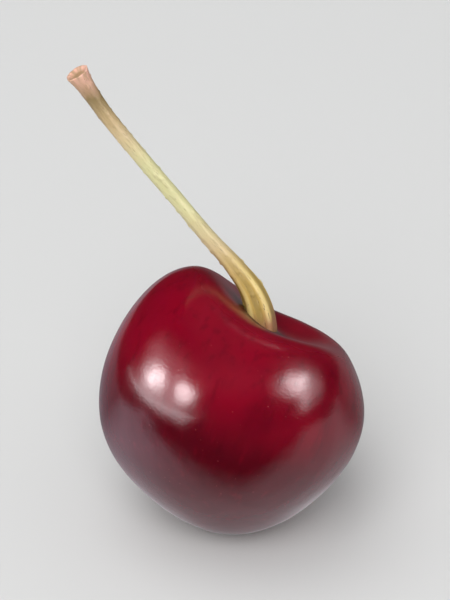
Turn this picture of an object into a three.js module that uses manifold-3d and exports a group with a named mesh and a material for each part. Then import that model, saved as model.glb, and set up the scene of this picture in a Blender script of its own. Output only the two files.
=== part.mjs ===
// A sweet cherry on its stalk: one plump, heart-shaped fruit lying on its blossom end, with the
// stalk rising out of the dimple at its top. Millimetres, +Z up. The origin is the middle of the
// small flat that the fruit rests on; +X is to the right of the viewer and +Y away from them.
import * as THREE from 'three';
import { mergeVertices } from 'three/addons/utils/BufferGeometryUtils.js';
import Module from 'manifold-3d';

// The fruit in its own frame: u across its two shoulders, v through it, w up to the stalk.
const HALF_WIDTH = 12.6;
const HALF_THICKNESS = 11.9;
const HALF_HEIGHT = 12.3;
const SHOULDER_TAPER = 0.1; // wider towards the stalk, narrower towards the blossom end
const POLE_ROUNDING = 0.03;

const DIMPLE_DEPTH = 5.2;
const DIMPLE_SPREAD = 0.48; // radians from the core
const DIMPLE_FLATNESS = 2.5; // the higher, the flatter its floor and the steeper its wall
const SADDLE_DROP = 1.5; // how far the rim dips at the front and at the back
const SADDLE_ANGLE = 0.6;

const SUTURE_DEPTH = 0.25;
const SUTURE_WIDTH = 0.14; // radians to each side of the line, which runs down the back

// Swellings that make the fruit uneven: where each one points, its spread and its rise.
const SWELLINGS = [
  { toward: [-0.7, 0, 0.71], spread: 0.5, rise: 2.1 }, // high shoulder
  { toward: [0.7, 0, 0.71], spread: 0.45, rise: -1.6 }, // low shoulder
  { toward: [-0.85, 0, -0.53], spread: 0.5, rise: 2.9 }, // full lower cheek
  { toward: [0.31, 0.3, -1], spread: 0.5, rise: 2.7 }, // blossom end
  { toward: [0.05, 0.8, -0.6], spread: 0.45, rise: 1.8 }, // full low back, under the weight
  { toward: [0.2, -0.55, 0.83], spread: 0.3, rise: 1.7 }, // front of the rim, before the stalk
];

// How the fruit lies: leaning back and to the right, with its middle over the resting flat.
const LEAN_BACK = THREE.MathUtils.degToRad(23);
const LEAN_RIGHT = THREE.MathUtils.degToRad(21);
const FRUIT_CENTRE = new THREE.Vector3(1.2, 0.2, 14.6);

const FRUIT_ROWS = 44;
const FRUIT_COLUMNS = 64;
const ROW_CROWDING = 0.12; // draws the rows together at the dimple and the blossom end

// The stalk: its route from under the floor of the dimple to its free end, and its thickness.
const STALK_ROUTE = [
  [2.5, 2, 19.9],
  [2.6, 2.4, 21.3],
  [2.45, 3.05, 23.4],
  [1.65, 3.8, 25.7],
  [-0.2, 4.6, 28.3],
  [-2.8, 5.45, 31.3],
  [-5.7, 6.45, 34.9],
  [-8.95, 7.35, 39],
  [-12.7, 8.15, 44.1],
  [-15.6, 8.75, 48.9],
];
const STALK_RADIUS = 0.75;
const FOOT_SWELL = 0.95;
const FOOT_LENGTH = 7.5;
const TIP_SWELL = 0.4;
const TIP_LENGTH = 1.8;
const FOOT_GAP = 0.35; // between the foot of the stalk and the floor of the dimple
const STALK_RINGS = 48;
const STALK_SIDES = 12;

const SKIN = new THREE.MeshStandardMaterial({ color: 0x7c0a21, roughness: 0.15, metalness: 0 });
const BARK = new THREE.MeshStandardMaterial({ color: 0xc8bc7c, roughness: 0.6, metalness: 0 });

const wasm = await Module();
wasm.setup();

function asSolid(geometry) {
  const bare = geometry.clone();
  bare.deleteAttribute('normal');
  bare.deleteAttribute('uv');
  const merged = mergeVertices(bare, 1e-3);
  return new wasm.Manifold(new wasm.Mesh({
    numProp: 3,
    vertProperties: new Float32Array(merged.attributes.position.array),
    triVerts: new Uint32Array(merged.index.array),
  }));
}

function asGeometry(solid) {
  const { vertProperties, triVerts } = solid.getMesh();
  const geometry = new THREE.BufferGeometry();
  geometry.setAttribute('position', new THREE.BufferAttribute(vertProperties, 3));
  geometry.setIndex(new THREE.BufferAttribute(triVerts, 1));
  geometry.computeVertexNormals();
  return geometry;
}

// A closed skin through rows of points, from one pole to the other, each row a closed loop.
function skinThrough(firstPole, rows, lastPole) {
  const around = rows[0].length;
  const points = [firstPole, ...rows.flat(), lastPole];
  const last = points.length - 1;
  const at = (row, column) => 1 + row * around + (column % around);
  const faces = [];
  for (let column = 0; column < around; column += 1) {
    faces.push(0, at(0, column), at(0, column + 1));
    for (let row = 0; row + 1 < rows.length; row += 1) {
      faces.push(at(row, column), at(row + 1, column), at(row + 1, column + 1));
      faces.push(at(row, column), at(row + 1, column + 1), at(row, column + 1));
    }
    faces.push(at(rows.length - 1, column), last, at(rows.length - 1, column + 1));
  }
  const geometry = new THREE.BufferGeometry().setFromPoints(points);
  geometry.setIndex(faces);
  geometry.computeVertexNormals();
  return geometry;
}

const swellings = SWELLINGS.map(({ toward, spread, rise }) => ({
  toward: new THREE.Vector3(...toward).normalize(), spread, rise,
}));

// The skin at an angle theta down from the stalk and phi round the core, or a little outside it.
function fruitPoint(theta, phi, clearance) {
  const outward = new THREE.Vector3(
    Math.sin(theta) * Math.cos(phi),
    Math.sin(theta) * Math.sin(phi),
    Math.cos(theta),
  );
  const girth = 1 + SHOULDER_TAPER * outward.z - POLE_ROUNDING * outward.z ** 2;

  const dimple = DIMPLE_DEPTH * Math.exp(-((theta / DIMPLE_SPREAD) ** DIMPLE_FLATNESS));
  const rim = (theta / SADDLE_ANGLE) ** 2;
  const saddle = SADDLE_DROP * Math.sin(phi) ** 2 * rim * Math.exp(1 - rim);
  const point = new THREE.Vector3(
    HALF_WIDTH * girth * outward.x,
    HALF_THICKNESS * girth * outward.y,
    HALF_HEIGHT * outward.z - dimple - saddle,
  );

  const fromSuture = Math.atan2(outward.x, outward.y) * Math.sin(theta) / SUTURE_WIDTH;
  let rise = clearance - SUTURE_DEPTH * Math.sqrt(Math.sin(theta)) * Math.exp(-(fromSuture ** 2));
  for (const swelling of swellings) {
    const away = 1 - outward.dot(swelling.toward);
    rise += swelling.rise * Math.exp(-away / swelling.spread ** 2);
  }
  return point.addScaledVector(outward, rise);
}

function wholeFruit(clearance) {
  const rows = [];
  for (let row = 1; row < FRUIT_ROWS; row += 1) {
    const turn = row / FRUIT_ROWS;
    const theta = Math.PI * turn - ROW_CROWDING * Math.sin(2 * Math.PI * turn);
    const loop = [];
    for (let column = 0; column < FRUIT_COLUMNS; column += 1) {
      loop.push(fruitPoint(theta, (2 * Math.PI * column) / FRUIT_COLUMNS, clearance));
    }
    rows.push(loop);
  }
  const top = fruitPoint(0, 0, clearance);
  const bottom = fruitPoint(Math.PI, 0, clearance);
  const lying = new THREE.Matrix4()
    .makeRotationFromEuler(new THREE.Euler(-LEAN_BACK, LEAN_RIGHT, 0))
    .setPosition(FRUIT_CENTRE);
  return asSolid(skinThrough(top, rows, bottom).applyMatrix4(lying));
}

function fruitGeometry() {
  const reach = 4 * HALF_WIDTH;
  const ground = new THREE.BoxGeometry(reach, reach, reach).translate(0, 0, -reach / 2);
  return asGeometry(wholeFruit(0).subtract(asSolid(ground)));
}

function stalkRadius(along, length) {
  const foot = FOOT_SWELL * Math.exp(-((along / FOOT_LENGTH) ** 2));
  const tip = TIP_SWELL * Math.exp((along - length) / TIP_LENGTH);
  return STALK_RADIUS + foot + tip;
}

function stalkGeometry() {
  const route = new THREE.CatmullRomCurve3(STALK_ROUTE.map((place) => new THREE.Vector3(...place)));
  const length = route.getLength();
  const { normals, binormals } = route.computeFrenetFrames(STALK_RINGS, false);
  const rings = [];
  for (let ring = 0; ring <= STALK_RINGS; ring += 1) {
    const turn = ring / STALK_RINGS;
    const middle = route.getPointAt(turn);
    const radius = stalkRadius(turn * length, length);
    const loop = [];
    for (let side = 0; side < STALK_SIDES; side += 1) {
      const angle = (2 * Math.PI * side) / STALK_SIDES;
      loop.push(middle.clone()
        .addScaledVector(normals[ring], radius * Math.cos(angle))
        .addScaledVector(binormals[ring], -radius * Math.sin(angle)));
    }
    rings.push(loop);
  }
  const whole = skinThrough(route.getPoint(0), rings, route.getPoint(1));
  return asGeometry(asSolid(whole).subtract(wholeFruit(FOOT_GAP)));
}

function named(name, geometry, material) {
  const mesh = new THREE.Mesh(geometry, material);
  mesh.name = name;
  return mesh;
}

const cherry = new THREE.Group();
cherry.add(named('fruit', fruitGeometry(), SKIN));
cherry.add(named('stalk', stalkGeometry(), BARK));

export default cherry;
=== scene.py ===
# A sweet cherry on its stalk, dressed over its solids. Metres, +Z up; the origin is the middle of
# the small flat that the fruit rests on, +X is to the viewer's right and +Y away from them.
import math

import bpy
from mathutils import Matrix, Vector


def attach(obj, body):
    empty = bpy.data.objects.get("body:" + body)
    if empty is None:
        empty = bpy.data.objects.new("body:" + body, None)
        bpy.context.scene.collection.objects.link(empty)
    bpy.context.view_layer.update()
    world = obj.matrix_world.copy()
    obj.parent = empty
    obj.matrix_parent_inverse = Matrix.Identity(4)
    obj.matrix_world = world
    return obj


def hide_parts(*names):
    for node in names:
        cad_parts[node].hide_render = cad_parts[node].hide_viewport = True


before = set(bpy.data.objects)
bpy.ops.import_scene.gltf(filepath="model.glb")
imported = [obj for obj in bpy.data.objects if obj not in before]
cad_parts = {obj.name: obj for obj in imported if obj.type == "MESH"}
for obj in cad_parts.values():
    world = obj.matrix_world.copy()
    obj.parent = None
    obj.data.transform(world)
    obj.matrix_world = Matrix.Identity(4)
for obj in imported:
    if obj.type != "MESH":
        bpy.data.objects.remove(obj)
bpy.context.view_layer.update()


# ---- The fruit -----------------------------------------------------------------------------------
# One ripe sweet cherry: a thin, glossy skin tight over soft flesh, grown as one body round a deep
# dimple. It is wider over its two shoulders than through them, and lies on its blossom end,
# leaning back and to the right.
MM = 0.001
FRUIT_SIZES = {
    "Half Width": 12.6 * MM,
    "Half Thickness": 11.9 * MM,
    "Half Height": 12.3 * MM,
    "Shoulder Taper": 0.1,
    "Pole Rounding": 0.03,
    "Dimple Depth": 5.2 * MM,
    "Dimple Spread": 0.48,
    "Dimple Flatness": 2.5,
    "Saddle Drop": 1.5 * MM,
    "Saddle Angle": 0.6,
    "Suture Depth": 0.25 * MM,
    "Suture Width": 0.14,
    "Collar Rise": 0.16 * MM,
    "Collar Angle": 0.16,
    "Collar Width": 0.04,
    "Scar Depth": 0.18 * MM,
    "Scar Width": 0.05,
    "Unevenness": 0.16 * MM,
    "Unevenness Scale": 2.4,
    "Lean Back": math.radians(23),
    "Lean Right": math.radians(21),
    "Flat Edge": 0.12 * MM,
    "High Shoulder Rise": 2.1 * MM,
    "Low Shoulder Rise": -1.6 * MM,
    "Lower Cheek Rise": 2.9 * MM,
    "Blossom End Rise": 2.7 * MM,
    "Low Back Rise": 1.8 * MM,
    "Front Rim Rise": 1.7 * MM,
    "High Shoulder Spread": 0.5,
    "Low Shoulder Spread": 0.45,
    "Lower Cheek Spread": 0.5,
    "Blossom End Spread": 0.5,
    "Low Back Spread": 0.45,
    "Front Rim Spread": 0.3,
}
FRUIT_CENTRE = Vector((1.2, 0.2, 14.6)) * MM
# Which way each swelling points: across the fruit's shoulders, through it and up its core.
SWELLINGS = {
    "High Shoulder": Vector((-0.7, 0.0, 0.71)).normalized(),
    "Low Shoulder": Vector((0.7, 0.0, 0.71)).normalized(),
    "Lower Cheek": Vector((-0.85, 0.0, -0.53)).normalized(),
    "Blossom End": Vector((0.31, 0.3, -1.0)).normalized(),
    "Low Back": Vector((0.05, 0.8, -0.6)).normalized(),
    "Front Rim": Vector((0.2, -0.55, 0.83)).normalized(),
}
# Where the stalk grows out of the dimple's floor, a little off the core.
STALK_FOOT = Vector((-0.11, -0.051, 0.99)).normalized()
FRUIT_SUBDIVISIONS = 7
SMALLEST_SQUARE = 1e-8  # keeps a division by the distance from the core finite at its two ends


class Wire:
    """A socket of a node tree: sums on wires add the nodes that work them out."""

    def __init__(self, tree, socket=None):
        self.tree = tree
        self.socket = socket

    def node(self, kind, settings, sockets, output=0):
        """A new node. Its settings come first, then the values or links of its sockets."""
        made = self.tree.nodes.new(kind)
        for name, value in settings.items():
            if name == "stops":
                set_stops(made.color_ramp.elements, value)
            else:
                setattr(made, name, value)
        for name, value in sockets.items():
            if isinstance(value, Wire):
                self.tree.links.new(value.socket, made.inputs[name])
            else:
                made.inputs[name].default_value = value
        if made.outputs:
            return Wire(self.tree, made.outputs[output])
        return None

    def other(self, output):
        """Another output of the same node."""
        return Wire(self.tree, self.socket.node.outputs[output])

    def maths(self, operation, *sides):
        """A Math node, or a Vector Math node where one of the sides is a vector."""
        vectors = any(isinstance(side, Wire) and side.socket.type == "VECTOR" for side in sides)
        if not vectors:
            return self.node("ShaderNodeMath", {"operation": operation}, dict(enumerate(sides)))
        sides = [side if isinstance(side, Wire) else (side,) * 3 for side in sides]
        return self.node("ShaderNodeVectorMath", {"operation": operation}, dict(enumerate(sides)))

    def __add__(self, side):
        return self.maths("ADD", self, side)

    def __radd__(self, side):
        return self.maths("ADD", side, self)

    def __sub__(self, side):
        return self.maths("SUBTRACT", self, side)

    def __rsub__(self, side):
        return self.maths("SUBTRACT", side, self)

    def __mul__(self, side):
        return self.maths("MULTIPLY", self, side)

    def __rmul__(self, side):
        return self.maths("MULTIPLY", side, self)

    def __truediv__(self, side):
        return self.maths("DIVIDE", self, side)

    def __rtruediv__(self, side):
        return self.maths("DIVIDE", side, self)

    def __pow__(self, side):
        return self.maths("POWER", self, side)

    def mark(self, name, output):
        """What the mesh keeps under a name at each of its points."""
        return self.node("ShaderNodeAttribute", {"attribute_name": name}, {}, output)

    def parts(self):
        """The three numbers of this vector."""
        across = self.node("ShaderNodeSeparateXYZ", {}, {0: self})
        return across, across.other(1), across.other(2)

    def vector(self, x, y, z):
        return self.node("ShaderNodeCombineXYZ", {}, {0: x, 1: y, 2: z})

    def towards(self, direction):
        """How far a unit vector points in a direction: 1 straight along it, -1 away from it."""
        settings = {"operation": "DOT_PRODUCT"}
        return self.node("ShaderNodeVectorMath", settings, {0: self, 1: direction}, output="Value")

    def power_of_e(self):
        return self.maths("EXPONENT", self)

    def hill(self):
        """1 where this wire is 0, falling off like a bell to both sides."""
        return (self * self * -1.0).power_of_e()

    def step(self, start, end):
        """0 turning smoothly into 1 as this wire goes from start to end."""
        settings = {"interpolation_type": "SMOOTHSTEP"}
        return self.node("ShaderNodeMapRange", settings, {0: self, 1: start, 2: end})

    def noise(self, scale, detail=2.0, roughness=0.5):
        """Soft noise round 0.5, read at this wire."""
        sockets = {"Vector": self, "Scale": scale, "Detail": detail, "Roughness": roughness}
        return self.node("ShaderNodeTexNoise", {}, sockets)

    def mix(self, first, second):
        """The first colour turning into the second as this wire goes from 0 to 1."""
        colours = [c if isinstance(c, Wire) else (*c, 1.0) for c in (first, second)]
        sockets = {0: self, 6: colours[0], 7: colours[1]}
        return self.node("ShaderNodeMix", {"data_type": "RGBA"}, sockets, output=2)


def set_stops(elements, stops):
    """Gives a colour ramp its stops, each a place from 0 to 1 and a colour."""
    while len(elements) < len(stops):
        elements.new(1.0)
    for element, (place, colour) in zip(elements, stops):
        element.position = place
        element.color = (*colour, 1.0)


def new_growth(name, sizes):
    """A Geometry Nodes tree with an input for each size, and the wires that carry them."""
    tree = bpy.data.node_groups.new(name, "GeometryNodeTree")
    tree.interface.new_socket("Geometry", in_out="INPUT", socket_type="NodeSocketGeometry")
    for size in sizes:
        tree.interface.new_socket(size, in_out="INPUT", socket_type="NodeSocketFloat")
    tree.interface.new_socket("Geometry", in_out="OUTPUT", socket_type="NodeSocketGeometry")
    inputs = tree.nodes.new("NodeGroupInput")
    return tree, {socket.name: Wire(tree, socket) for socket in inputs.outputs if socket.name}


def keep_mark(geometry, name, kind, value):
    """Keeps a value under a name at each point of a mesh, for its material to read."""
    settings = {"data_type": kind, "domain": "POINT"}
    sockets = {"Geometry": geometry, "Name": name, "Value": value}
    return geometry.node("GeometryNodeStoreNamedAttribute", settings, sockets)


def end_growth(geometry, material):
    """Ends a tree: smooth shading, instances made real, and the material."""
    smooth = geometry.node("GeometryNodeSetShadeSmooth", {}, {"Geometry": geometry})
    real = smooth.node("GeometryNodeRealizeInstances", {}, {0: smooth})
    sockets = {"Geometry": real, "Material": material}
    painted = real.node("GeometryNodeSetMaterial", {}, sockets)
    painted.node("NodeGroupOutput", {}, {"Geometry": painted})


def grow(name, tree, sizes, seed):
    """Runs a tree on a seed mesh with its sizes set, and gives the result as a plain mesh."""
    host = bpy.data.objects.new(name + " host", seed)
    bpy.context.scene.collection.objects.link(host)
    growth = host.modifiers.new("growth", "NODES")
    growth.node_group = tree
    for socket in tree.interface.items_tree:
        if socket.in_out == "INPUT" and socket.name in sizes:
            growth[socket.identifier] = sizes[socket.name]
    bpy.context.view_layer.update()
    evaluated = host.evaluated_get(bpy.context.evaluated_depsgraph_get())
    mesh = bpy.data.meshes.new_from_object(evaluated)
    host.modifiers.remove(growth)
    bpy.data.objects.remove(host)
    mesh.name = name
    grown = bpy.data.objects.new(name, mesh)
    bpy.context.scene.collection.objects.link(grown)
    return grown


def new_finish(name):
    """A material, a wire to start its tree from, and its one shader."""
    material = bpy.data.materials.new(name)
    material.use_nodes = True
    return material, Wire(material.node_tree), material.node_tree.nodes["Principled BSDF"]


def lay_on(shader, **finish):
    """Sets a shader's sockets: an underscore stands for a space in a socket's name."""
    for name, value in finish.items():
        socket = shader.inputs[name.replace("_", " ")]
        if isinstance(value, Wire):
            value.tree.links.new(value.socket, socket)
        else:
            socket.default_value = value


# Juice shows through the skin: crimson, and lighter on the high shoulder, partly its own blush and
# partly painted light from the upper left; the lower half is darkened towards near black as painted
# shade. Fine streaks, some near black, run from the stalk down, with sparse pale breathing pores.
# The dimple is darkened as painted shade and is less glossy, and a small corky scar is left where
# the blossom was.
CRIMSON = (0.222, 0.0008, 0.0125)
BURGUNDY = (0.16, 0.0006, 0.0095)
RIPEST_AND_PAINTED_SHADE = (0.05, 0.0005, 0.004)
PORE = (0.42, 0.07, 0.07)
PAINTED_CAVITY_SHADE = (0.06, 0.002, 0.004)
FOOT_RING = (0.17, 0.06, 0.02)
SCAR = (0.22, 0.11, 0.05)
# How fine each pattern is on a fruit of radius 1; the streaks' is round the fruit and down it.
SKIN_FINENESS = {
    "patches": 1.7,
    "streaks": (16.0, 2.2),
    "pores": 14.0,
    "pore groups": 6.0,
    "ring": 9.0,
    "scar edge": 20.0,
    "pebbles": 38.0,
    "gloss": 5.0,
}
# Where each marking starts to show and where it is full: a level of its noise, how far the skin
# points its way, a distance from a pore, or, for the last four, an angle from the stalk's foot, the
# core or the blossom end.
SKIN_EDGES = {
    "patches": (0.38, 0.66),
    "blush_and_painted_light": (0.1, 1.0),
    "painted shade on lower half": (0.28, -0.35),
    "dark streaks": (0.5, 0.8),
    "light streaks": (0.45, 0.2),
    "pores": (0.11, 0.05),
    "pore groups": (0.42, 0.6),
    "ring": (0.3, 0.6),
    "painted cavity shade": (0.34, 0.16),
    "dull dimple": (0.95, 0.55),
    "blossom shade": (0.14, 0.08),
    "scar": (0.08, 0.05),
}
# How much of the colour below each marking hides.
SKIN_COVER = {
    "blush_and_painted_light": 0.6,
    "painted shade on lower half": 0.8,
    "dark streaks": 0.35,
    "light streaks": 0.22,
    "suture": 0.4,
    "pores": 0.3,
    "ring": 0.7,
    "blossom shade": 0.6,
    "scar": 0.85,
}
SUTURE_LINE_WIDTH = 0.045
SUTURE_SHADE_WIDTH = 0.16
SUTURE_SHADE_SHARE = 0.5
RING_ANGLE = 0.15
RING_WIDTH = 0.014
SCAR_RAGGEDNESS = 0.08
PORE_RISE = 0.6
SKIN_ROUGHNESS = 0.09
SKIN_ROUGHNESS_SPREAD = 0.1
DIMPLE_DULLNESS = 0.18


def cherry_skin():
    """The fruit's finish, painted by the way each point of the skin points from its middle."""
    material, start, shader = new_finish("cherry skin")
    outward = start.mark("outward", "Vector")
    u, v, w = outward.parts()
    from_core = start.maths("ARCCOSINE", w)
    from_foot = start.maths("ARCCOSINE", outward.towards(STALK_FOOT))
    fine, edge, cover = SKIN_FINENESS, SKIN_EDGES, SKIN_COVER

    patches = outward.noise(fine["patches"], detail=3.0).step(*edge["patches"])
    # Lighter crimson on the high shoulder: partly the fruit's own blush, partly painted light from
    # the upper left.
    blush_and_painted_light = outward.towards(SWELLINGS["High Shoulder"]).step(*edge["blush_and_painted_light"])
    colour = patches.mix(CRIMSON, BURGUNDY)
    colour = (blush_and_painted_light * cover["blush_and_painted_light"]).mix(colour, CRIMSON)
    # Painted shade: the lower half of the skin is darkened towards near black.
    colour = (w.step(*edge["painted shade on lower half"]) * cover["painted shade on lower half"]).mix(colour, RIPEST_AND_PAINTED_SHADE)

    around, down = fine["streaks"]
    streaks = outward.vector(u * around, v * around, w * down).noise(1.0, detail=3.0)
    dark_streaks = streaks.step(*edge["dark streaks"]) * cover["dark streaks"]
    light_streaks = streaks.step(*edge["light streaks"]) * cover["light streaks"]
    colour = dark_streaks.mix(colour, RIPEST_AND_PAINTED_SHADE)
    colour = light_streaks.mix(colour, CRIMSON)

    from_suture = start.maths("ARCTAN2", u, v) * start.maths("SQRT", u * u + v * v)
    suture_shade = (from_suture / SUTURE_SHADE_WIDTH).hill() * SUTURE_SHADE_SHARE
    suture = (from_suture / SUTURE_LINE_WIDTH).hill() + suture_shade
    colour = (suture * cover["suture"]).mix(colour, RIPEST_AND_PAINTED_SHADE)

    cells = {"Vector": outward, "Scale": fine["pores"], "Randomness": 1.0}
    pores = start.node("ShaderNodeTexVoronoi", {}, cells).step(*edge["pores"])
    pores = pores * outward.noise(fine["pore groups"]).step(*edge["pore groups"])
    colour = (pores * cover["pores"]).mix(colour, PORE)

    # Painted shade: the dimple round the stalk's foot is darkened to near black red.
    colour = from_foot.step(*edge["painted cavity shade"]).mix(colour, PAINTED_CAVITY_SHADE)
    ring = ((from_foot - RING_ANGLE) / RING_WIDTH).hill()
    ring = ring * outward.noise(fine["ring"]).step(*edge["ring"])
    colour = (ring * cover["ring"]).mix(colour, FOOT_RING)

    ragged = (outward.noise(fine["scar edge"]) - 0.5) * SCAR_RAGGEDNESS
    from_blossom = math.pi - from_core + ragged
    blossom_shade = from_blossom.step(*edge["blossom shade"]) * cover["blossom shade"]
    colour = blossom_shade.mix(colour, RIPEST_AND_PAINTED_SHADE)
    colour = (from_blossom.step(*edge["scar"]) * cover["scar"]).mix(colour, SCAR)

    height = outward.noise(fine["pebbles"]) + pores * PORE_RISE
    bump = {"Strength": 0.17, "Distance": 0.05 * MM, "Height": height}
    roughness = outward.noise(fine["gloss"]) * SKIN_ROUGHNESS_SPREAD + SKIN_ROUGHNESS
    dullness = from_core.step(*edge["dull dimple"]) * DIMPLE_DULLNESS
    lay_on(
        shader,
        Base_Color=colour,
        Roughness=roughness + dullness,
        Normal=start.node("ShaderNodeBump", {}, bump),
        IOR=1.48,
        Subsurface_Weight=0.25,
        Subsurface_Radius=(1.0, 0.12, 0.08),
        Subsurface_Scale=1.6 * MM,
    )
    return material


def fruit_growth():
    """A ball pushed out to the fruit's form, leaned over, and settled flat where it rests."""
    tree, size = new_growth("fruit growth", FRUIT_SIZES)
    start = Wire(tree)
    ball = {"Radius": 1.0, "Subdivisions": FRUIT_SUBDIVISIONS}
    fruit = start.node("GeometryNodeMeshIcoSphere", {}, ball)
    place = start.node("GeometryNodeInputPosition", {}, {})
    outward = place.maths("NORMALIZE", place)
    fruit = keep_mark(fruit, "outward", "FLOAT_VECTOR", outward)

    u, v, w = outward.parts()
    from_core = start.maths("ARCCOSINE", w)
    off_core = start.maths("MAXIMUM", u * u + v * v, SMALLEST_SQUARE)
    girth = 1.0 + size["Shoulder Taper"] * w - size["Pole Rounding"] * w * w
    fall = (from_core / size["Dimple Spread"]) ** size["Dimple Flatness"]
    dimple = size["Dimple Depth"] * (fall * -1.0).power_of_e()
    rim = (from_core / size["Saddle Angle"]) ** 2.0
    saddle = size["Saddle Drop"] * (v * v / off_core) * rim * (1.0 - rim).power_of_e()
    body = start.vector(
        size["Half Width"] * girth * u,
        size["Half Thickness"] * girth * v,
        size["Half Height"] * w - dimple - saddle,
    )

    sine = start.maths("SQRT", off_core)
    from_suture = start.maths("ARCTAN2", u, v) * sine / size["Suture Width"]
    rise = size["Suture Depth"] * start.maths("SQRT", sine) * from_suture.hill() * -1.0
    for name, direction in SWELLINGS.items():
        away = (outward.towards(direction) - 1.0) / size[name + " Spread"] ** 2.0
        rise = rise + size[name + " Rise"] * away.power_of_e()
    from_foot = start.maths("ARCCOSINE", outward.towards(STALK_FOOT))
    collar = ((from_foot - size["Collar Angle"]) / size["Collar Width"]).hill()
    scar = ((math.pi - from_core) / size["Scar Width"]).hill()
    uneven = outward.noise(size["Unevenness Scale"]) - 0.5
    rise = rise + size["Collar Rise"] * collar - size["Scar Depth"] * scar
    rise = rise + size["Unevenness"] * uneven
    skin = {"Geometry": fruit, "Position": body + outward * rise}
    fruit = start.node("GeometryNodeSetPosition", {}, skin)

    right = {0: fruit, "Rotation": start.vector(0.0, size["Lean Right"], 0.0)}
    fruit = start.node("GeometryNodeTransform", {}, right)
    back = {0: fruit, "Rotation": start.vector(size["Lean Back"] * -1.0, 0.0, 0.0)}
    fruit = start.node("GeometryNodeTransform", {}, {**back, "Translation": FRUIT_CENTRE})

    x, y, z = place.parts()
    edge = size["Flat Edge"]
    settled = (z + start.maths("SQRT", z * z + edge * edge)) * 0.5
    flat = {"Geometry": fruit, "Position": start.vector(x, y, settled)}
    fruit = start.node("GeometryNodeSetPosition", {}, flat)
    end_growth(fruit, cherry_skin())
    return tree


fruit = grow("cherry_fruit", fruit_growth(), FRUIT_SIZES, bpy.data.meshes.new("fruit seed"))
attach(fruit, "root")
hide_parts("fruit")


# ---- The stalk -----------------------------------------------------------------------------------
# The woody stalk that the cherry hung from, grown into the floor of the dimple. It swells into a
# fluted foot there, and flares at the free end into the corky face where it broke from the spur.
# The route is its middle line in millimetres, from under the dimple's floor to the free end.
STALK_ROUTE = [
    (2.5, 2, 19.9),
    (2.6, 2.4, 21.3),
    (2.45, 3.05, 23.4),
    (1.65, 3.8, 25.7),
    (-0.2, 4.6, 28.3),
    (-2.8, 5.45, 31.3),
    (-5.7, 6.45, 34.9),
    (-8.95, 7.35, 39),
    (-12.7, 8.15, 44.1),
    (-15.6, 8.75, 48.9),
]
STALK_SIZES = {
    "Radius": 0.75 * MM,
    "Foot Swell": 0.95 * MM,
    "Foot Length": 7.5 * MM,
    "Tip Swell": 0.4 * MM,
    "Tip Length": 1.8 * MM,
    "Flute Depth": 0.2 * MM,
    "Flute Length": 5.0 * MM,
    "Flute Turn": math.radians(180),
    "Ridge Depth": 0.14 * MM,
    "Ridge Fineness": 1.6,
    "Grain Stretch": 6.0 * MM,
    "Wart Rise": 0.09 * MM,
    "Wart Fineness": 2.0,
    "Wart Stretch": 0.9 * MM,
    "Lobe Depth": 0.5 * MM,
    "Lobe Length": 1.2 * MM,
    "Lobe Fineness": 1.3,
    "Lobe Level": 0.4,
    "Dish Depth": 0.35 * MM,
}
STALK_ROWS = 361
STALK_COLUMNS = 49
END_ROWS = 0.03  # the share of the rows that closes each end
FLUTES = 5
CURVE_STEPS = 24  # between two points of the route
WART_EDGE = (0.62, 0.75)
DISH_EDGE = (0.12, 0.55)
WELD_DISTANCE = 1e-6

# Dry, ribbed bark: golden where the foot is fluted, with painted shade in the flutes' grooves and
# painted light on their ridges, yellow-green in the middle, tan and then pink towards the free end,
# with darker and paler fibres, brown specks and cork where it broke off.
FOOT_TAN = (0.42, 0.19, 0.075)
GOLD = (0.57, 0.39, 0.1)
RIDGE_PAINTED_LIGHT_YELLOW = (0.8, 0.64, 0.25)
GROOVE_PAINTED_SHADE_OLIVE = (0.36, 0.25, 0.06)
YELLOW_GREEN = (0.66, 0.63, 0.33)
CREAM = (0.66, 0.52, 0.29)
TAN = (0.5, 0.36, 0.18)
OLIVE = (0.27, 0.19, 0.075)
PINK_TAN = (0.86, 0.49, 0.37)
STALK_BROWN = (0.14, 0.075, 0.03)
CORK = (0.42, 0.27, 0.15)
# The bark's base colour from the foot, at 0, to the free end, at 1.
BARK_STOPS = [
    (0.0, STALK_BROWN),
    (0.05, FOOT_TAN),
    (0.085, FOOT_TAN),
    (0.13, GOLD),
    (0.2, GOLD),
    (0.34, CREAM),
    (0.48, YELLOW_GREEN),
    (0.66, YELLOW_GREEN),
    (0.77, CREAM),
    (0.84, TAN),
    (0.91, OLIVE),
    (1.0, PINK_TAN),
]
BARK_FINENESS = {"wander": 0.5, "fibres": 3.2, "specks": 9.0, "weather": 1.6}
# Where each marking starts to show and where it is full: a place along the stalk, a height on its
# flutes, a level of its noise, or how far in from the rim of the broken face.
BARK_EDGES = {
    "flutes start": (0.07, 0.11),
    "flutes end": (0.36, 0.16),
    "grooves": (0.1, -0.8),
    "ridges": (0.1, 0.9),
    "dark fibres": (0.52, 0.75),
    "pale fibres": (0.45, 0.28),
    "specks": (0.68, 0.74),
    "weather": (0.46, 0.62),
    "weathered end": (0.9, 0.97),
    "face": (0.2, 0.6),
}
# How much of the colour below each marking hides.
BARK_COVER = {
    "flutes": 0.8,
    "dark fibres": 0.45,
    "pale fibres": 0.3,
    "specks": 0.6,
    "weather": 0.55,
}
COLOUR_WANDER = 0.08
BARK_ROUGHNESS = 0.38
BARK_ROUGHNESS_SPREAD = 0.2


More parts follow.
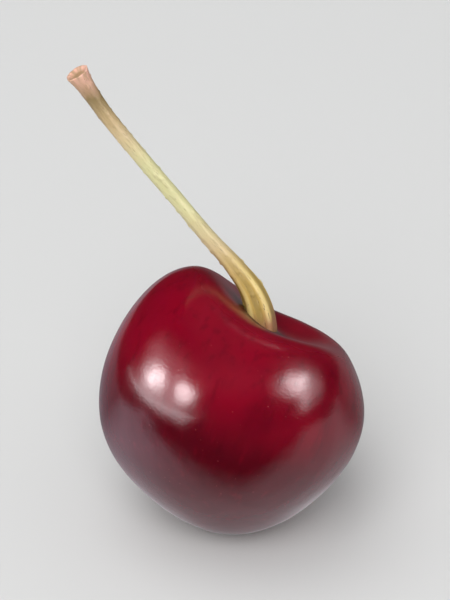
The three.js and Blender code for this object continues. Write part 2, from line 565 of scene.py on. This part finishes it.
def stalk_bark():
    """The stalk's finish, painted by the place along it and the way round it."""
    material, start, shader = new_finish("stalk bark")
    along = start.mark("along", "Fac")
    grain = start.mark("grain", "Vector")
    flute = start.mark("flute", "Fac")
    face = start.mark("face", "Fac")
    fine, edge, cover = BARK_FINENESS, BARK_EDGES, BARK_COVER

    wander = (grain.noise(fine["wander"]) - 0.5) * COLOUR_WANDER
    colour = start.node("ShaderNodeValToRGB", {"stops": BARK_STOPS}, {0: along + wander})
    fluted = along.step(*edge["flutes start"]) * along.step(*edge["flutes end"]) * cover["flutes"]
    # Painted shade darkens the flutes' grooves and painted light brightens their ridges.
    colour = (flute.step(*edge["grooves"]) * fluted).mix(colour, GROOVE_PAINTED_SHADE_OLIVE)
    colour = (flute.step(*edge["ridges"]) * fluted).mix(colour, RIDGE_PAINTED_LIGHT_YELLOW)

    fibres = grain.noise(fine["fibres"], detail=3.0, roughness=0.6)
    colour = (fibres.step(*edge["dark fibres"]) * cover["dark fibres"]).mix(colour, OLIVE)
    colour = (fibres.step(*edge["pale fibres"]) * cover["pale fibres"]).mix(colour, CREAM)
    specks = grain.noise(fine["specks"], detail=1.0).step(*edge["specks"])
    colour = (specks * cover["specks"]).mix(colour, STALK_BROWN)

    weather = grain.noise(fine["weather"], detail=3.0).step(*edge["weather"])
    weather = weather * along.step(*edge["weathered end"])
    colour = (weather * cover["weather"]).mix(colour, CORK)
    colour = face.step(*edge["face"]).mix(colour, CORK)

    bump = {"Strength": 0.5, "Distance": 0.06 * MM, "Height": fibres + specks}
    lay_on(
        shader,
        Base_Color=colour,
        Roughness=fibres * BARK_ROUGHNESS_SPREAD + BARK_ROUGHNESS,
        Normal=start.node("ShaderNodeBump", {}, bump),
        IOR=1.45,
        Subsurface_Weight=0.1,
        Subsurface_Radius=(1.0, 0.8, 0.3),
        Subsurface_Scale=0.5 * MM,
    )
    return material


def stalk_growth():
    """A flat sheet of rows and columns rolled round the route, its end rows closing the tube."""
    tree, size = new_growth("stalk growth", STALK_SIZES)
    start = Wire(tree)
    route = start.node("GeometryNodeMeshToCurve", {}, {0: size["Geometry"]})
    route = start.node("GeometryNodeCurveSplineType", {"spline_type": "CATMULL_ROM"}, {0: route})
    route = start.node("GeometryNodeSetSplineResolution", {}, {0: route, "Resolution": CURVE_STEPS})
    length = start.node("GeometryNodeCurveLength", {}, {0: route})

    sheet = {"Size X": 1.0, "Size Y": 1.0, "Vertices X": STALK_ROWS, "Vertices Y": STALK_COLUMNS}
    sheet = start.node("GeometryNodeMeshGrid", {}, sheet)
    x, y, _ = start.node("GeometryNodeInputPosition", {}, {}).parts()
    row = x + 0.5
    angle = (y + 0.5) * math.tau
    foot_end = start.maths("MAXIMUM", 1.0 - row / END_ROWS, 0.0)
    tip_end = start.maths("MAXIMUM", 1.0 - (1.0 - row) / END_ROWS, 0.0)
    rows = {0: row, 1: END_ROWS, 2: 1.0 - END_ROWS, 3: 0.0, 4: 1.0}
    share = start.node("ShaderNodeMapRange", {}, rows)
    along = share * length
    to_tip = along - length
    place = {"Curves": route, "Length": along}
    middle = start.node("GeometryNodeSampleCurve", {"mode": "LENGTH"}, place, "Position")
    tangent = middle.other("Tangent")
    normal = middle.other("Normal")
    side = start.maths("CROSS_PRODUCT", tangent, normal)

    cosine = start.maths("COSINE", angle)
    sine = start.maths("SINE", angle)
    grain = start.vector(cosine, sine, along / size["Grain Stretch"])
    foot = (along / size["Foot Length"]).hill()
    tip = (to_tip / size["Tip Length"]).power_of_e()
    flute = start.maths("COSINE", angle * float(FLUTES) + size["Flute Turn"])
    fluting = flute * (along / size["Flute Length"] * -1.0).power_of_e()
    ridges = grain.noise(size["Ridge Fineness"]) - 0.5
    lobes = start.vector(cosine, sine, 0.0).noise(size["Lobe Fineness"], detail=1.0)
    lobes = (lobes - size["Lobe Level"]) * (to_tip / size["Lobe Length"]).power_of_e()
    bumpy = start.vector(
        cosine * size["Wart Fineness"],
        sine * size["Wart Fineness"],
        along / size["Wart Stretch"],
    )
    warts = bumpy.noise(1.0, detail=1.0).step(*WART_EDGE)
    radius = size["Radius"] + size["Foot Swell"] * foot + size["Tip Swell"] * tip
    radius = (
        radius
        + size["Flute Depth"] * fluting
        + size["Ridge Depth"] * ridges
        + size["Lobe Depth"] * lobes
        + size["Wart Rise"] * warts
    )
    radius = radius * (1.0 - foot_end) * (1.0 - tip_end)
    dish = size["Dish Depth"] * tip_end.step(*DISH_EDGE)
    bark = middle + normal * (radius * cosine) + side * (radius * sine) - tangent * dish

    sheet = keep_mark(sheet, "along", "FLOAT", share)
    sheet = keep_mark(sheet, "grain", "FLOAT_VECTOR", grain)
    sheet = keep_mark(sheet, "flute", "FLOAT", flute)
    sheet = keep_mark(sheet, "face", "FLOAT", tip_end)
    stalk = start.node("GeometryNodeSetPosition", {}, {"Geometry": sheet, "Position": bark})
    weld = {"Geometry": stalk, "Distance": WELD_DISTANCE}
    stalk = start.node("GeometryNodeMergeByDistance", {}, weld)
    stalk = start.node("GeometryNodeFlipFaces", {}, {0: stalk})
    end_growth(stalk, stalk_bark())
    return tree


route_mesh = bpy.data.meshes.new("stalk route")
route_points = [Vector(point) * MM for point in STALK_ROUTE]
route_mesh.from_pydata(route_points, [(n, n + 1) for n in range(len(route_points) - 1)], [])
stalk = grow("cherry_stalk", stalk_growth(), STALK_SIZES, route_mesh)
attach(stalk, "root")
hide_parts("stalk")


# ---- The table and the light ---------------------------------------------------------------------
# A plain white table top in a pale room. Two broad soft lights light the cherry and the table. The
# rest show only as highlights in the skin. In the skin's gloss the table glows with painted light, a
# painted reflection that gives the pale veil low down.
TABLE_SIZE = 6.0
TABLE_WHITE = (0.66, 0.66, 0.655)
BLACK = (0.0, 0.0, 0.0)
ROOM_WHITE = (0.93, 0.94, 0.95)
ROOM_STRENGTH = 0.55
ROOM_IN_THE_GLOSS = 0.02
# What the skin's gloss sees of the table is a painted reflection that glows: bright near the
# cherry, most of all on its left, and darkened with painted shade in a wedge that opens to the
# front and far off, and with painted shadow behind and under the fruit. A strip of it out to the
# front left glows as a painted reflection of the left soft boxes.
LEFT_PAINTED_REFLECTION = (1.65, 1.5, 1.75)
RIGHT_PAINTED_REFLECTION = (0.85, 0.82, 0.86)
PAINTED_SHADE_IN_THE_GLOSS = (0.03, 0.03, 0.03)
PAINTED_GLOW_IN_THE_GLOSS = (6.2, 5.8, 6.0)
# Where each of these starts and where it is full.
LEFT_EDGE = (-5 * MM, -35 * MM)
WEDGE_EDGE = (12 * MM, 28 * MM)
FAR_EDGE = (75 * MM, 125 * MM)
BEHIND_EDGE = (-10 * MM, 12 * MM)
UNDER_EDGE = (11 * MM, 4 * MM)
GLOW_EDGE = (60 * MM, 220 * MM)
GLOW_SIDE_EDGE = (0.0, 50 * MM)
BEHIND_SHARE = 0.75
UNDER_SHARE = 0.6
# How far forward each edge of the wedge comes for every step to the right.
WEDGE_ON_THE_RIGHT = 0.75
WEDGE_ON_THE_LEFT = -0.16
GLOW_DIRECTION = (-0.3, -0.95)
GLOW_SIDE_SLOPE = 0.78
LIGHT_DISTANCE = 0.9
SOFT_BOX_TINT = (1.0, 0.9, 0.92)
# Bearing to the right of straight in front, height above the table, width, depth and brightness.
BROAD_LIGHTS = {
    "overhead soft box": (-110, 76, 0.7, 0.7, 1.7),
    "front soft box": (-14, 48, 0.8, 0.8, 3.4),
}
SOFT_BOXES = {
    "left soft box": (-76, 12, 0.5, 0.38, 27.5),
    "front left soft box": (-50, 16, 0.44, 0.43, 23.5),
    "left strip": (-66, 1.5, 1.5, 0.5, 4.8),
    "left diffuser": (-66, 20, 1.4, 1.1, 1.6),
    "high left diffuser": (-89, 22, 0.5, 0.5, 1.6),
    "right soft box": (54, 24, 0.62, 0.5, 14.5),
    "inner right soft box": (41, 31, 0.62, 0.6, 10.0),
    "right diffuser": (64, 16, 1.0, 0.9, 3.5),
    "low right diffuser": (52, 8, 0.5, 0.4, 3.5),
    "right haze": (66, 32, 1.6, 1.6, 1.2),
    "back right diffuser": (142, 61, 0.14, 0.14, 9.0),
}
SOFT_BOX_FADE = 4.0  # the higher, the smaller the bright middle of a soft box

table_mesh = bpy.data.meshes.new("table")
half = TABLE_SIZE / 2
corners = [(-half, -half, 0.0), (half, -half, 0.0), (half, half, 0.0), (-half, half, 0.0)]
table_mesh.from_pydata(corners, [], [(0, 1, 2, 3)])
table = bpy.data.objects.new("table", table_mesh)
bpy.context.scene.collection.objects.link(table)
table_paint_and_painted_reflection, paint, table_shader = new_finish("table paint and painted reflection")
x, y, _ = paint.node("ShaderNodeTexCoord", {}, {}, output="Object").parts()
wedge = paint.maths("MAXIMUM", x * WEDGE_ON_THE_RIGHT, x * WEDGE_ON_THE_LEFT)
in_front = (y * -1.0 - wedge).step(*WEDGE_EDGE)
away = paint.maths("SQRT", x * x + y * y)
# Painted shade in the table's reflection: the front wedge, far off, and painted shadow behind and
# under the fruit.
dark = paint.maths("MAXIMUM", in_front, away.step(*FAR_EDGE))
dark = paint.maths("MAXIMUM", dark, y.step(*BEHIND_EDGE) * BEHIND_SHARE)
dark = paint.maths("MAXIMUM", dark, away.step(*UNDER_EDGE) * UNDER_SHARE)
# Painted glow: a strip to the front left, seen only in the skin's gloss.
painted_glow = (x * GLOW_DIRECTION[0] + y * GLOW_DIRECTION[1]).step(*GLOW_EDGE)
painted_glow = painted_glow * (y * GLOW_SIDE_SLOPE - x).step(*GLOW_SIDE_EDGE)
painted_reflection = x.step(*LEFT_EDGE).mix(RIGHT_PAINTED_REFLECTION, LEFT_PAINTED_REFLECTION)
painted_reflection = dark.mix(painted_reflection, PAINTED_SHADE_IN_THE_GLOSS)
painted_reflection = painted_glow.mix(painted_reflection, PAINTED_GLOW_IN_THE_GLOSS)
# Seen in the gloss the table is black and glows with the painted reflection; otherwise it is plain
# white.
in_the_gloss = paint.node("ShaderNodeLightPath", {}, {}, output="Is Glossy Ray")
lay_on(
    table_shader,
    Base_Color=in_the_gloss.mix(TABLE_WHITE, BLACK),
    Emission_Color=in_the_gloss.mix(BLACK, painted_reflection),
    Emission_Strength=1.0,
    Roughness=0.9,
    Specular_IOR_Level=0.0,
)
table_mesh.materials.append(table_paint_and_painted_reflection)


def hang_light(name, bearing, height, width, depth, brightness):
    """An oval soft light at one distance from the fruit, turned to face it."""
    turn = math.radians(bearing)
    rise = math.radians(height)
    level = math.cos(rise)
    out = Vector((level * math.sin(turn), -level * math.cos(turn), math.sin(rise)))
    area = math.pi * width * depth / 4
    light = bpy.data.lights.new(name, "AREA")
    light.shape = "ELLIPSE"
    light.size = width
    light.size_y = depth
    light.energy = brightness * math.pi * area
    lamp = bpy.data.objects.new(name, light)
    lamp.location = FRUIT_CENTRE + out * LIGHT_DISTANCE
    lamp.rotation_euler = (-out).to_track_quat("-Z", "Y").to_euler()
    bpy.context.scene.collection.objects.link(lamp)
    return lamp


def fade_out(light):
    """Lets a soft box fade from its middle to nothing at its edge."""
    light.use_nodes = True
    box = Wire(light.node_tree)
    across, up, _ = box.node("ShaderNodeNewGeometry", {}, {}, output="Parametric").parts()
    across = (across - 0.5) * SOFT_BOX_FADE
    up = (up - 0.5) * SOFT_BOX_FADE
    fading = box.maths("SQRT", across * across + up * up).hill()
    lay_on(light.node_tree.nodes["Emission"], Color=(1.0, 1.0, 1.0, 1.0), Strength=fading)


for name, facts in BROAD_LIGHTS.items():
    hang_light(name, *facts).visible_glossy = False
for name, facts in SOFT_BOXES.items():
    soft_box = hang_light(name, *facts)
    soft_box.visible_diffuse = False
    soft_box.data.color = SOFT_BOX_TINT
    fade_out(soft_box.data)

world = bpy.data.worlds.new("pale room")
world.use_nodes = True
bpy.context.scene.world = world
room = Wire(world.node_tree)
glossy = room.node("ShaderNodeLightPath", {}, {}, output="Is Glossy Ray")
lay_on(
    world.node_tree.nodes["Background"],
    Color=(*ROOM_WHITE, 1.0),
    Strength=glossy * (ROOM_IN_THE_GLOSS - ROOM_STRENGTH) + ROOM_STRENGTH,
)
bpy.context.scene.view_settings.view_transform = "Standard"


# ---- The camera ----------------------------------------------------------------------------------
# It looks down at the cherry from the front with a long lens.
VIEW_ELEVATION = math.radians(38)
VIEW_DISTANCE = 0.392
LENS = 230.0
AIM_RIGHT = -2.2 * MM
AIM_UP = 9.9 * MM

to_camera = Vector((0.0, -math.cos(VIEW_ELEVATION), math.sin(VIEW_ELEVATION)))
view_up = Vector((0.0, math.sin(VIEW_ELEVATION), math.cos(VIEW_ELEVATION)))
aim = FRUIT_CENTRE + Vector((AIM_RIGHT, 0.0, 0.0)) + view_up * AIM_UP
camera = bpy.data.objects.new("camera", bpy.data.cameras.new("camera"))
camera.data.lens = LENS
camera.location = aim + to_camera * VIEW_DISTANCE
camera.rotation_euler = (-to_camera).to_track_quat("-Z", "Y").to_euler()
bpy.context.scene.collection.objects.link(camera)
bpy.context.scene.camera = camera
